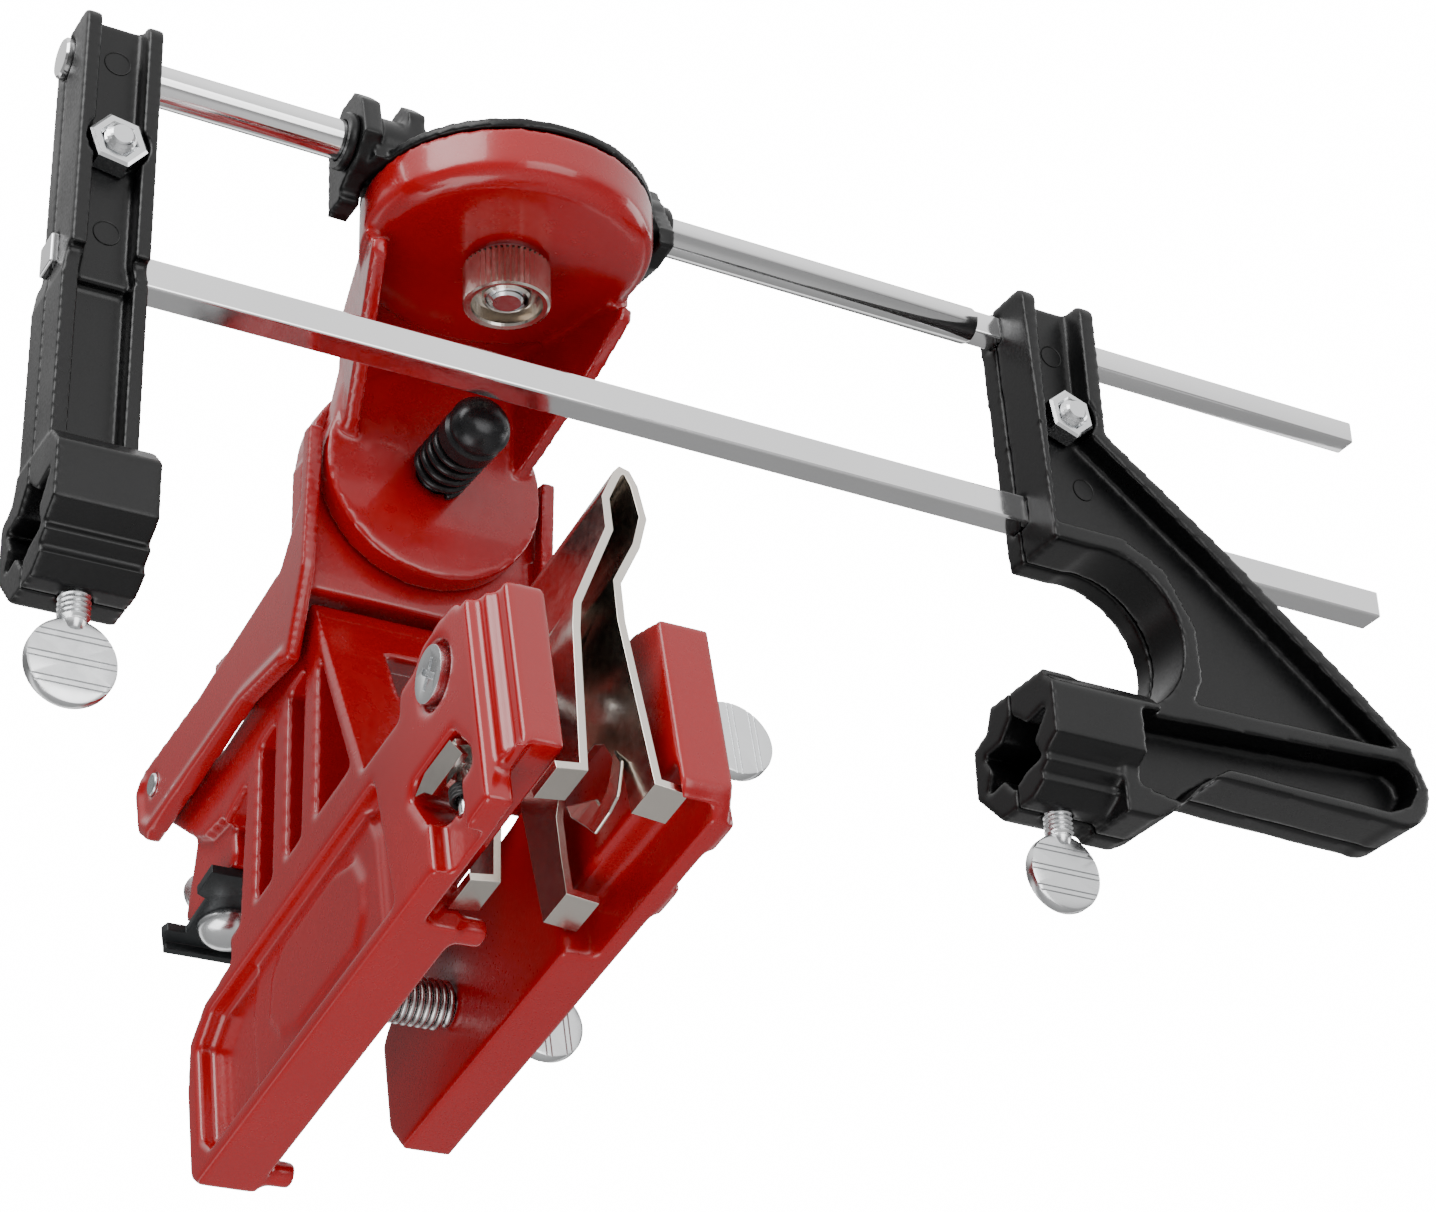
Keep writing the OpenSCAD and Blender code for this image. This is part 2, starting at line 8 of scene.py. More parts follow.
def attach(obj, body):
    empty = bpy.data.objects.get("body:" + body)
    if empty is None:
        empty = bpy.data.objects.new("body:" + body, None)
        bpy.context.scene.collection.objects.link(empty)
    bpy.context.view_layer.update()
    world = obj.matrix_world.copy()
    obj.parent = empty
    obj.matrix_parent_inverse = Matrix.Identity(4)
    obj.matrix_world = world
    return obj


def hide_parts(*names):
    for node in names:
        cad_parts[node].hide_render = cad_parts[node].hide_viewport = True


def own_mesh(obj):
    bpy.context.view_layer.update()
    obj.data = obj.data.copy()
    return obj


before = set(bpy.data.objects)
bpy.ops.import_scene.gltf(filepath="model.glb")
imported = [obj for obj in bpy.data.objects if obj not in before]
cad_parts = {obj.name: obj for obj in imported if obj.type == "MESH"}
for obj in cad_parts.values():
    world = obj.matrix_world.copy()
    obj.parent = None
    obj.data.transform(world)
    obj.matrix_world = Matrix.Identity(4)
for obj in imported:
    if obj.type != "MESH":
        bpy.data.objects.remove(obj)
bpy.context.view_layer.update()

# ---- Camera, lights and floor ----
# The guide is seen from low on its left, looking up at the slot for the saw bar.
# A long lens keeps the two bars nearly parallel. The pale floor lies below the camera.
seen_right = Vector((0.87128609, -0.47275324, -0.13177607))
seen_down = Vector((0.21123222, 0.60359794, -0.76879807))
seen_ahead = Vector((0.44299154, 0.64200772, 0.6257672))
camera_data = bpy.data.cameras.new("camera")
camera_data.sensor_width = 36.0
camera_data.lens = 82.96
camera_data.clip_start = 0.01
camera_place = Matrix.Translation((-0.23785, -0.4022, -0.32203))
camera_turn = Matrix((seen_right, -seen_down, -seen_ahead)).transposed().to_4x4()
camera = bpy.data.objects.new("camera", camera_data)
camera.matrix_world = camera_place @ camera_turn
bpy.context.scene.collection.objects.link(camera)
bpy.context.scene.camera = camera

middle = Vector((0.03, 0.05, 0.07))


def soft_box(name, place, size, watts):
    """A square studio light that faces the middle of the guide."""
    data = bpy.data.lights.new(name, "AREA")
    data.shape = "SQUARE"
    data.size = size
    data.energy = watts
    light = bpy.data.objects.new(name, data)
    light.matrix_world = Matrix.Translation(place) @ (
        middle - Vector(place)).to_track_quat("-Z", "Y").to_matrix().to_4x4()
    bpy.context.scene.collection.objects.link(light)


soft_box("key_light", (-0.55, -0.35, 0.5), 0.5, 5.0)
soft_box("front_light", (0.1, -0.9, -0.05), 0.6, 3.5)
soft_box("low_light", (-0.35, 0.1, -0.5), 0.5, 2.5)
soft_box("right_light", (0.8, -0.1, 0.2), 0.4, 2.0)

# Behind the guide the camera sees plain white. The light that falls on the guide, and that it
# mirrors, comes from a sky with a dark band across it, brighter in mirrors.
backdrop_strength = 16.0
soft_strength = 0.5
mirror_strength = 1.7
sky_ends = ((0.0, 0.95), (1.0, 1.0))
sky_stops = ((0.3, 0.9), (0.4, 0.12), (0.6, 0.14), (0.72, 0.7))
sky_up = (0, -0.5, 1)
sky_reach = 1.12

world = bpy.data.worlds.new("studio")
bpy.context.scene.world = world
world.use_nodes = True
tree = world.node_tree
tree.nodes.clear()
sky_out = tree.nodes.new("ShaderNodeOutputWorld")
backdrop = tree.nodes.new("ShaderNodeBackground")
backdrop.inputs["Color"].default_value = (1, 1, 1, 1)
backdrop.inputs["Strength"].default_value = backdrop_strength
lighting = tree.nodes.new("ShaderNodeBackground")
strength = tree.nodes.new("ShaderNodeMapRange")
strength.inputs["To Min"].default_value = soft_strength
strength.inputs["To Max"].default_value = mirror_strength
split = tree.nodes.new("ShaderNodeMixShader")
ray = tree.nodes.new("ShaderNodeLightPath")
direction = tree.nodes.new("ShaderNodeTexCoord")
lean = tree.nodes.new("ShaderNodeVectorMath")
lean.operation = "DOT_PRODUCT"
lean.inputs[1].default_value = sky_up
bands = tree.nodes.new("ShaderNodeValToRGB")
for element, (stop, grey) in zip(bands.color_ramp.elements, sky_ends):
    element.position = stop
    element.color = (grey, grey, grey, 1)
for stop, grey in sky_stops:
    bands.color_ramp.elements.new(stop).color = (grey, grey, grey, 1)
height = tree.nodes.new("ShaderNodeMapRange")
height.inputs["From Min"].default_value = -sky_reach
height.inputs["From Max"].default_value = sky_reach
for source, target in (
        (direction.outputs["Generated"], lean.inputs[0]),
        (lean.outputs["Value"], height.inputs["Value"]),
        (height.outputs[0], bands.inputs[0]),
        (bands.outputs[0], lighting.inputs["Color"]),
        (ray.outputs["Is Glossy Ray"], strength.inputs["Value"]),
        (strength.outputs[0], lighting.inputs["Strength"]),
        (ray.outputs["Is Camera Ray"], split.inputs[0]),
        (lighting.outputs[0], split.inputs[1]),
        (backdrop.outputs[0], split.inputs[2]),
        (split.outputs[0], sky_out.inputs["Surface"])):
    tree.links.new(source, target)

floor_half_width = 4.0
floor_height = -0.62
floor_shape = bmesh.new()
bmesh.ops.create_grid(floor_shape, x_segments=1, y_segments=1, size=floor_half_width)
bmesh.ops.translate(floor_shape, verts=floor_shape.verts, vec=(0, 0, floor_height))
floor_mesh = bpy.data.meshes.new("floor")
floor_shape.to_mesh(floor_mesh)
floor_shape.free()
floor = bpy.data.objects.new("floor", floor_mesh)
bpy.context.scene.collection.objects.link(floor)
pale = bpy.data.materials.new("pale_floor")
pale.use_nodes = True
pale_shader = pale.node_tree.nodes["Principled BSDF"]
pale_shader.inputs["Base Color"].default_value = (0.86, 0.86, 0.86, 1)
pale_shader.inputs["Roughness"].default_value = 0.8
floor_mesh.materials.append(pale)


# ---- Clamp body ---- Die-cast left jaw with its nose, ribs, paddle recess, deck and rear
# cheeks in one piece. It is sprayed with gloss red enamel, a little uneven in colour and
# gloss, with small pits.
def surface_group(name, fine, coarse):
    """Node group: uneven tint, gloss variation and bump height for a finish."""
    group = bpy.data.node_groups.new(name, "ShaderNodeTree")
    for label, default in (("Fine Scale", fine), ("Coarse Scale", coarse), ("Speck", 0.5)):
        socket = group.interface.new_socket(label, in_out="INPUT", socket_type="NodeSocketFloat")
        socket.default_value = default
    for label in ("Tint", "Gloss", "Height"):
        group.interface.new_socket(label, in_out="OUTPUT", socket_type="NodeSocketFloat")
    nodes, links = group.nodes, group.links
    start = nodes.new("NodeGroupInput")
    end = nodes.new("NodeGroupOutput")
    place = nodes.new("ShaderNodeTexCoord")
    coarse_noise = nodes.new("ShaderNodeTexNoise")
    coarse_noise.inputs["Detail"].default_value = 4.0
    fine_noise = nodes.new("ShaderNodeTexNoise")
    fine_noise.inputs["Detail"].default_value = 3.0
    links.new(place.outputs["Object"], coarse_noise.inputs["Vector"])
    links.new(place.outputs["Object"], fine_noise.inputs["Vector"])
    links.new(start.outputs["Coarse Scale"], coarse_noise.inputs["Scale"])
    links.new(start.outputs["Fine Scale"], fine_noise.inputs["Scale"])
    specks = nodes.new("ShaderNodeTexVoronoi")
    links.new(place.outputs["Object"], specks.inputs["Vector"])
    links.new(start.outputs["Fine Scale"], specks.inputs["Scale"])
    pit = nodes.new("ShaderNodeMapRange")
    pit.inputs["From Max"].default_value = 0.25
    links.new(specks.outputs["Distance"], pit.inputs["Value"])
    pit_depth = nodes.new("ShaderNodeMath")
    pit_depth.operation = "MULTIPLY"
    links.new(pit.outputs[0], pit_depth.inputs[0])
    links.new(start.outputs["Speck"], pit_depth.inputs[1])
    total = nodes.new("ShaderNodeMath")
    total.operation = "ADD"
    links.new(fine_noise.outputs["Fac"], total.inputs[0])
    links.new(pit_depth.outputs[0], total.inputs[1])
    gloss = nodes.new("ShaderNodeMath")
    gloss.operation = "MULTIPLY"
    links.new(coarse_noise.outputs["Fac"], gloss.inputs[0])
    links.new(fine_noise.outputs["Fac"], gloss.inputs[1])
    links.new(coarse_noise.outputs["Fac"], end.inputs["Tint"])
    links.new(gloss.outputs[0], end.inputs["Gloss"])
    links.new(total.outputs[0], end.inputs["Height"])
    return group


skin = surface_group("cast_and_moulded_skin", 900.0, 60.0)


def finish(name, dark, light, rough, metallic, fine, coarse, speck, depth):
    """Material with an uneven colour, roughness and bump from the shared skin group.

    It wanders between a dark and a light colour and between two roughnesses. Its grain has a
    fine and a coarse scale, a share of pits, and a bump depth in metres.
    """
    material = bpy.data.materials.new(name)
    material.use_nodes = True
    nodes, links = material.node_tree.nodes, material.node_tree.links
    shader = nodes["Principled BSDF"]
    shader.inputs["Metallic"].default_value = metallic
    grain = nodes.new("ShaderNodeGroup")
    grain.node_tree = skin
    grain.inputs["Fine Scale"].default_value = fine
    grain.inputs["Coarse Scale"].default_value = coarse
    grain.inputs["Speck"].default_value = speck
    tint = nodes.new("ShaderNodeMix")
    tint.data_type = "RGBA"
    tint.inputs["A"].default_value = (*dark, 1)
    tint.inputs["B"].default_value = (*light, 1)
    links.new(grain.outputs["Tint"], tint.inputs["Factor"])
    links.new(tint.outputs["Result"], shader.inputs["Base Color"])
    spread = nodes.new("ShaderNodeMapRange")
    spread.inputs["From Min"].default_value = 0.1
    spread.inputs["From Max"].default_value = 0.4
    spread.inputs["To Min"].default_value = rough[0]
    spread.inputs["To Max"].default_value = rough[1]
    links.new(grain.outputs["Gloss"], spread.inputs["Value"])
    links.new(spread.outputs[0], shader.inputs["Roughness"])
    bump = nodes.new("ShaderNodeBump")
    bump.inputs["Strength"].default_value = 1.0
    bump.inputs["Distance"].default_value = depth
    links.new(grain.outputs["Height"], bump.inputs["Height"])
    links.new(bump.outputs["Normal"], shader.inputs["Normal"])
    return material


def lacquer(material, weight, rough):
    """Clear coat over a finish."""
    shader = material.node_tree.nodes["Principled BSDF"]
    shader.inputs["Coat Weight"].default_value = weight
    shader.inputs["Coat Roughness"].default_value = rough


red_enamel = finish("red_enamel", dark=(0.34, 0.0, 0.002), light=(0.44, 0.001, 0.004),
                    rough=(0.2, 0.32), metallic=0.0, fine=300.0, coarse=30.0, speck=0.02,
                    depth=0.00001)
lacquer(red_enamel, weight=0.4, rough=0.06)


def show(mesh, name, body, material, nodes=()):
    """Puts a finished mesh in the scene on its CAD body."""
    mesh.materials.clear()
    mesh.materials.append(material)
    piece = bpy.data.objects.new(name, mesh)
    bpy.context.scene.collection.objects.link(piece)
    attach(piece, body)
    if nodes:
        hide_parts(*nodes)
    return piece


def copy_of(node):
    """bmesh copy of a CAD node in millimetres, with its loose triangles merged."""
    solid = bmesh.new()
    solid.from_mesh(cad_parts[node].data)
    solid.transform(Matrix.Scale(1000.0, 4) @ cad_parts[node].matrix_world)
    bmesh.ops.remove_doubles(solid, verts=solid.verts, dist=0.002)
    return solid


def plate(solid, outline, low, high, place=Matrix()):
    """Adds a plate: an outline of (y, z) points, pushed from low to high along X."""
    corners = [solid.verts.new((low, y, z)) for y, z in outline]
    face = solid.faces.new(corners)
    pushed = bmesh.ops.extrude_face_region(solid, geom=[face])["geom"]
    moved = [v for v in pushed if isinstance(v, bmesh.types.BMVert)]
    bmesh.ops.translate(solid, verts=moved, vec=(high - low, 0, 0))
    made = corners + moved
    faces = list({f for v in made for f in v.link_faces})
    bmesh.ops.recalc_face_normals(solid, faces=faces)
    bmesh.ops.transform(solid, matrix=place, verts=made)
    return made


def brick(solid, low, high, place=Matrix()):
    """Adds a plain box between two corners."""
    section = [(low[1], low[2]), (high[1], low[2]), (high[1], high[2]), (low[1], high[2])]
    return plate(solid, section, low[0], high[0], place)


def lathe(solid, profile, place=Matrix(), steps=48, angle=2 * pi):
    """Adds a profile of (radius, height) points turned about Z, all round or by an angle."""
    ring = [solid.verts.new((r, 0, h)) for r, h in profile]
    edges = [solid.edges.new(pair) for pair in zip(ring, ring[1:])]
    before = set(solid.verts) - set(ring)
    full = abs(angle - 2 * pi) < 0.001
    bmesh.ops.spin(solid, geom=ring + edges, cent=(0, 0, 0), axis=(0, 0, 1), angle=angle,
                   steps=steps, use_merge=full, use_normal_flip=False)
    made = [v for v in solid.verts if v not in before]
    bmesh.ops.remove_doubles(solid, verts=made, dist=0.0005)
    made = [v for v in solid.verts if v not in before]
    bmesh.ops.recalc_face_normals(solid, faces=list({f for v in made for f in v.link_faces}))
    bmesh.ops.transform(solid, matrix=place, verts=made)
    return made


def meshed(solid, name):
    """Finishes a bmesh made in millimetres as a mesh in metres."""
    solid.transform(Matrix.Scale(0.001, 4))
    mesh = bpy.data.meshes.new(name)
    solid.to_mesh(mesh)
    solid.free()
    return mesh


def with_modifier(mesh, kind, **settings):
    """Mesh with one modifier applied."""
    blank = bpy.data.objects.new("blank", mesh)
    bpy.context.scene.collection.objects.link(blank)
    modifier = blank.modifiers.new(kind.lower(), kind)
    for key, value in settings.items():
        setattr(modifier, key, value)
    done = blank.evaluated_get(bpy.context.evaluated_depsgraph_get())
    result = bpy.data.meshes.new_from_object(done)
    result.name = mesh.name
    bpy.data.objects.remove(blank)
    return result


def cut_from(mesh, cutter):
    """Mesh with the cutter's shape taken out."""
    tool = bpy.data.objects.new("tool", meshed(cutter, "tool"))
    bpy.context.scene.collection.objects.link(tool)
    result = with_modifier(mesh, "BOOLEAN", operation="DIFFERENCE", solver="EXACT", object=tool)
    bpy.data.objects.remove(tool)
    return result


def cast(name, node, body, material, voxel, rounds, extra=None, cutter=None):
    """One casting or moulding: the CAD solid and its details, run together with soft fillets.

    A finer voxel (in metres) keeps smaller features, and more rounds make softer fillets.
    """
    solid = copy_of(node)
    if extra:
        extra(solid)
    mesh = meshed(solid, name)
    if cutter:
        mesh = cut_from(mesh, cutter)
    mesh = with_modifier(mesh, "REMESH", mode="VOXEL", voxel_size=voxel)
    soft = bmesh.new()
    soft.from_mesh(mesh)
    for _ in range(rounds):
        bmesh.ops.smooth_vert(soft, verts=soft.verts, factor=0.5, use_axis_x=True,
                              use_axis_y=True, use_axis_z=True)
    for face in soft.faces:
        face.smooth = True
    soft.to_mesh(mesh)
    soft.free()
    show(mesh, name, body, material, [node])


def jaw_details(solid):
    """Raised middle of the paddle and a plain oval on it."""
    panel = [(33, 5), (90, 5), (91, 12), (91, 24), (86, 33.5), (36, 33.5), (33, 26)]
    oval = [(44, 9), (70, 9), (78, 12), (82, 18), (80, 25), (74, 29), (50, 29), (42, 26),
            (39, 20), (40, 13)]
    plate(solid, panel, -19.6, -17)
    plate(solid, oval, -20.3, -17)


# The rear thumb screw and its spring lie along this axis, across the slot for the saw bar.
across_rear = Matrix.Translation((0, 68, 17)) @ Matrix.Rotation(radians(90), 4, "Y")
screw_hole = bmesh.new()
lathe(screw_hole, [(0, -16.9), (3.6, -16.9), (3.6, -9), (0, -9)], across_rear)
cast("clamp_casting", "clamp_body", "clamp", red_enamel, voxel=0.00065, rounds=5,
     extra=jaw_details, cutter=screw_hole)

# ---- Right jaw ----
# A second casting in the same red enamel. The two thumb screws draw it towards the left jaw.
# Its gripping face keeps the rough skin of the mould.
rough_red = finish("red_enamel_rough", dark=(0.32, 0.0, 0.002), light=(0.42, 0.001, 0.004),
                   rough=(0.24, 0.38), metallic=0.0, fine=1100.0, coarse=40.0, speck=0.2,
                   depth=0.00003)
lacquer(rough_red, weight=0.25, rough=0.1)
cast("right_jaw_casting", "right_jaw", "jaw", rough_red, voxel=0.0008, rounds=3)

# ---- Spring clip ----
# One strip of nickel-plated spring steel, folded over and punched. The feet turn outwards,
# and a tongue cut from the arch is bent inwards to press on the saw bar.
nickel = finish("nickel_sheet", dark=(0.60, 0.555, 0.50), light=(0.74, 0.69, 0.63),
                rough=(0.14, 0.26), metallic=1.0, fine=500.0, coarse=60.0, speck=0.02,
                depth=0.000004)


def smoothed(solid, name, sharp=40):
    """Mesh of smooth faces that stays crisp where they meet at more than the sharp angle."""
    for face in solid.faces:
        face.smooth = True
    mesh = meshed(solid, name)
    mesh.set_sharp_from_angle(angle=radians(sharp))
    return mesh


def trimmed(name, node, body, material, width):
    """A small machined or folded piece: the CAD solid with its edges broken by a width."""
    solid = copy_of(node)
    bmesh.ops.dissolve_limit(solid, angle_limit=radians(2), verts=solid.verts, edges=solid.edges)
    piece = show(smoothed(solid, name, sharp=60), name, body, material, [node])
    edge = piece.modifiers.new("broken_edges", "BEVEL")
    edge.width = width * 0.001
    edge.segments = 2
    edge.limit_method = "ANGLE"
    edge.angle_limit = radians(35)
    edge.harden_normals = True


trimmed("spring_clip", "bar_clip", "clamp", nickel, width=0.35)

tongue_outline = [(-12.3, 18.5), (-14.8, 14.2), (-14.4, 6.5), (-12, 4.6), (-7, 3.5), (-2, 8.6),
                  (4.6, 15.5), (6.2, 19.4), (0, 15.8), (-3.2, 14.1), (-5.4, 12.6), (-7, 10.1),
                  (-9.3, 11.2), (-10.6, 14.2)]
tongue_root = 20
tongue_bend = 0.011
tongue = bmesh.new()
plate(tongue, tongue_outline, 4.5, 5.2)
for bend_line in (13, 8):
    bmesh.ops.bisect_plane(tongue, geom=tongue.verts[:] + tongue.edges[:] + tongue.faces[:],
                           plane_co=(0, 0, bend_line), plane_no=(0, 0, 1))
for vert in tongue.verts:
    vert.co.x -= tongue_bend * (tongue_root - vert.co.z) ** 2
tab = show(meshed(tongue, "clip_tongue"), "clip_tongue", "clamp", nickel)
tab_edge = tab.modifiers.new("broken_edges", "BEVEL")
tab_edge.width = 0.0003
tab_edge.segments = 2

# ---- Clamp screws and the return spring ----
# Zinc-plated thumb screws with flat round heads, each face pressed with fine pairs of grooves.
# A wire spring round the rear one pushes the right jaw open.
zinc = finish("zinc_plate", dark=(0.68, 0.69, 0.70), light=(0.82, 0.83, 0.84),
              rough=(0.16, 0.3), metallic=1.0, fine=600.0, coarse=80.0, speck=0.02,
              depth=0.000004)
wire = finish("spring_wire", dark=(0.42, 0.42, 0.42), light=(0.62, 0.62, 0.61),
              rough=(0.2, 0.34), metallic=1.0, fine=900.0, coarse=150.0, speck=0.1,
              depth=0.000008)


def thread(solid, radius, low, high, pitch, place=Matrix()):
    """Adds a helical thread between two heights, on a core with a chamfer at each end."""
    root = radius - 0.54 * pitch
    before = set(solid.verts)
    tooth = [solid.verts.new((root, 0, low)),
             solid.verts.new((radius, 0, low + pitch * 0.45)),
             solid.verts.new((radius, 0, low + pitch * 0.55)),
             solid.verts.new((root, 0, low + pitch))]
    edges = [solid.edges.new(pair) for pair in zip(tooth, tooth[1:])]
    turns = (high - low) / pitch - 1
    steps = int(turns * 24)
    bmesh.ops.spin(solid, geom=tooth + edges, cent=(0, 0, 0), axis=(0, 0, 1),
                   dvec=(0, 0, pitch * turns / steps), angle=2 * pi * turns, steps=steps,
                   use_merge=False)
    made = [v for v in solid.verts if v not in before]
    bmesh.ops.remove_doubles(solid, verts=made, dist=0.005)
    made = [v for v in solid.verts if v not in before]
    bmesh.ops.transform(solid, matrix=place, verts=made)
    core = root + 0.02
    lathe(solid, [(0, low), (core - 0.5, low), (core, low + 0.5), (core, high - 0.5),
                  (core - 0.5, high), (0, high)], place, steps=32)


# The thread's radius is a hair under half of its nominal size, here and in the screws below.
m6 = 2.97


def groove_cutter(centre):
    """Pairs of shallow grooves across both faces of a thumb screw's head."""
    half_wide = 0.17
    tool = bmesh.new()
    for row in (-4.4, 0, 4.4):
        for shift in (-0.55, 0.55):
            groove = centre + row + shift
            for side in (-1.75, 1.1):
                brick(tool, (-10, side, groove - half_wide),
                      (10, side + 0.65, groove + half_wide))
    return tool


def thumb_screw(name, node, body, place, length, neck):
    """Thumb screw along Z: thread above zero, flat round head below its neck."""
    head_radius = 8.2
    centre = -neck - head_radius + 1.5
    disc = bmesh.new()
    lathe(disc, [(0, -1.4), (7.6, -1.4), (8.05, -1.25), (head_radius, -0.8), (head_radius, 0.8),
                 (8.05, 1.25), (7.6, 1.4), (0, 1.4)],
          Matrix.Translation((0, 0, centre)) @ Matrix.Rotation(radians(90), 4, "X"), steps=72)
    whole = bmesh.new()
    whole.from_mesh(cut_from(meshed(disc, name), groove_cutter(centre)))
    whole.transform(Matrix.Scale(1000.0, 4))
    lathe(whole, [(0, centre + 6.0), (1.9, centre + 6.2), (2.4, centre + 7.4),
                  (2.3, -neck + 1.8), (0, -neck + 1.9)], steps=32)
    thread(whole, m6, -neck + 0.6, length, pitch=1.0)
    whole.transform(place)
    show(smoothed(whole, name), name, body, zinc, [node])


toward_slot = Matrix.Rotation(radians(-90), 4, "Y")
thumb_screw("front_thumb_screw", "front_clamp_screw", "front_screw",
            Matrix.Translation((23.1, 0, 37.2)) @ toward_slot, length=17.1, neck=7.6)
thumb_screw("rear_thumb_screw", "rear_clamp_screw", "rear_screw",
            Matrix.Translation((20.3, 68, 17)) @ toward_slot, length=33.7, neck=3.0)


def coil(solid, radius, wire_radius, low, high, turns, place):
    """Adds a compression spring along Z, closed at the ends of its wire."""
    start = Matrix.Translation((radius, 0, low + wire_radius)) @ Matrix.Rotation(pi / 2, 4, "X")
    before = set(solid.verts)
    bmesh.ops.create_circle(solid, cap_ends=True, segments=10, radius=wire_radius, matrix=start)
    made = [v for v in solid.verts if v not in before]
    faces = list({f for v in made for f in v.link_faces})
    edges = list({e for v in made for e in v.link_edges})
    steps = int(turns * 28)
    bmesh.ops.spin(solid, geom=made + edges + faces, cent=(0, 0, 0), axis=(0, 0, 1),
                   dvec=(0, 0, (high - low - 2 * wire_radius) / steps), angle=2 * pi * turns,
                   steps=steps)
    made = [v for v in solid.verts if v not in before]
    bmesh.ops.holes_fill(solid, edges=[e for e in solid.edges if e.is_boundary])
    bmesh.ops.recalc_face_normals(solid, faces=list({f for v in made for f in v.link_faces}))
    bmesh.ops.transform(solid, matrix=place, verts=made)
    for face in solid.faces:
        face.smooth = True


rear_coil = bmesh.new()
coil(rear_coil, 4.2, 0.72, -9.9, 9.9, turns=12, place=across_rear)
rear_spring = show(meshed(rear_coil, "rear_return_spring"), "rear_return_spring", "jaw", wire,
                   ["rear_jaw_spring"])
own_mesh(rear_spring)

# ---- Cross-head screw of the clip ----
# A zinc-plated pan-head screw with a pressed cross.
# It sits in a counterbore of the nose and holds the clip.
trimmed("clip_cross_screw", "clip_screw", "clamp", zinc, width=0.5)

# ---- Pawl ----
# A bent nickel-plated stamping that stops the chain. It swings on a steel pin in a window of
# the left jaw, against a small coil of dark wire.
trimmed("pawl_stamping", "chain_pawl", "pawl", nickel, width=0.25)
trimmed("pawl_hinge_pin", "pawl_pin", "clamp", zinc, width=0.2)
dark_wire = finish("dark_wire", dark=(0.02, 0.02, 0.02), light=(0.06, 0.06, 0.06),
                   rough=(0.25, 0.4), metallic=0.6, fine=900.0, coarse=100.0, speck=0.1,
                   depth=0.00001)
small_coil = bmesh.new()
coil(small_coil, 2.4, 0.5, 11.8, 15.4, turns=3, place=Matrix.Translation((-17.5, 2, 0)))
show(meshed(small_coil, "pawl_coil"), "pawl_coil", "clamp", dark_wire,
     ["pawl_spring"])

# ---- Stop plate ----
# A bent plate blackened with oxide, held under its lug by a zinc round-head screw.
# A second screw from behind locks it.
black_plate = finish("blackened_plate", dark=(0.010, 0.012, 0.013), light=(0.03, 0.034, 0.036),
                     rough=(0.3, 0.5), metallic=0.4, fine=700.0, coarse=60.0, speck=0.2,
                     depth=0.00002)
trimmed("stop_plate_sheet", "stop_plate", "clamp", black_plate, width=0.4)
m5, m4 = 2.47, 1.97
for name, node, place, wide, tall, shank, reach in (
        ("stop_round_head_screw", "stop_plate_screw",
         Matrix.Translation((-14, 113.5, 60.1)) @ Matrix.Rotation(pi, 4, "X"),
         6.4, 3.7, m5, 11.9),
        ("lock_round_head_screw", "lock_screw",
         Matrix.Translation((-13.5, 123.9, 75)) @ Matrix.Rotation(radians(-90), 4, "X"),
         5.2, 3.1, m4, 13.4)):
    screw = bmesh.new()
    lathe(screw, [(0, 0), (wide, 0), (wide, 0.8), (wide * 0.93, tall * 0.5),
                  (wide * 0.7, tall * 0.85), (wide * 0.35, tall * 0.98), (0, tall)], place)
    thread(screw, shank, -reach, 0.1, pitch=0.8, place=place)
    show(smoothed(screw, name), name, "clamp", zinc, [node])

# ---- Yoke ----
# The hinged casting has two legs with raised borders, a floor and a round face for the head.
# A steel pin through its legs and the clamp's cheeks is its hinge.
cast("yoke_casting", "swing_yoke", "yoke", red_enamel, voxel=0.0005, rounds=6)
trimmed("yoke_hinge_pin", "hinge_pin", "yoke", zinc, width=0.5)

# The yoke leans on its hinge. The bars' own frame leans with it, with the square bar on its X
# axis. The tilt screw lies across the head, along that frame's Y axis.
yoke_place = Matrix.Translation((0, 118.8, 96.5)) @ Matrix.Rotation(radians(11.5), 4, "X")
bars_place = yoke_place @ Matrix.Translation((0, -112.5, 42.8))
across_head = bars_place @ Matrix.Translation((0, 0, -4)) @ Matrix.Rotation(radians(-90), 4, "X")

height_bolt = bmesh.new()
stem = yoke_place @ Matrix.Translation((0, -38, 0))
thread(height_bolt, m5, -0.3, 20.1, pitch=0.8, place=stem)
lathe(height_bolt, [(0, 20), (6, 20), (6, 25), (5.5, 26), (0, 26)], stem, steps=6)
show(meshed(height_bolt, "height_adjuster_screw"), "height_adjuster_screw", "height_adjuster",
     zinc, ["height_screw"])

# ---- Tilt screw ----
# A black-oxide screw with a domed head goes through the spring, the head and the yoke's face.
# A zinc nut behind holds the stack.
oxide = finish("black_oxide", dark=(0.012, 0.012, 0.013), light=(0.03, 0.03, 0.032),
               rough=(0.2, 0.38), metallic=0.5, fine=900.0, coarse=90.0, speck=0.1,
               depth=0.000015)
m8 = 3.97
bolt = bmesh.new()
lathe(bolt, [(0, 7.8), (2.9, 8.1), (4.6, 8.9), (5.7, 10.2), (6.25, 11.4), (6.3, 12.2),
             (5.6, 12.7), (5.5, 14.3), (6.2, 14.8), (6.3, 17.6), (4.2, 17.9), (4.0, 18.2),
             (3.9, 30.0), (0, 30.0)], across_head)
thread(bolt, m8, 30.0, 52.0, pitch=1.25, place=across_head)
show(smoothed(bolt, "tilt_bolt_turned", sharp=50), "tilt_bolt_turned", "tilt_bolt", oxide,
     ["tilt_screw"])
black_coil = bmesh.new()
coil(black_coil, 5.4, 0.85, 18.1, 31.8, turns=4.2, place=across_head)
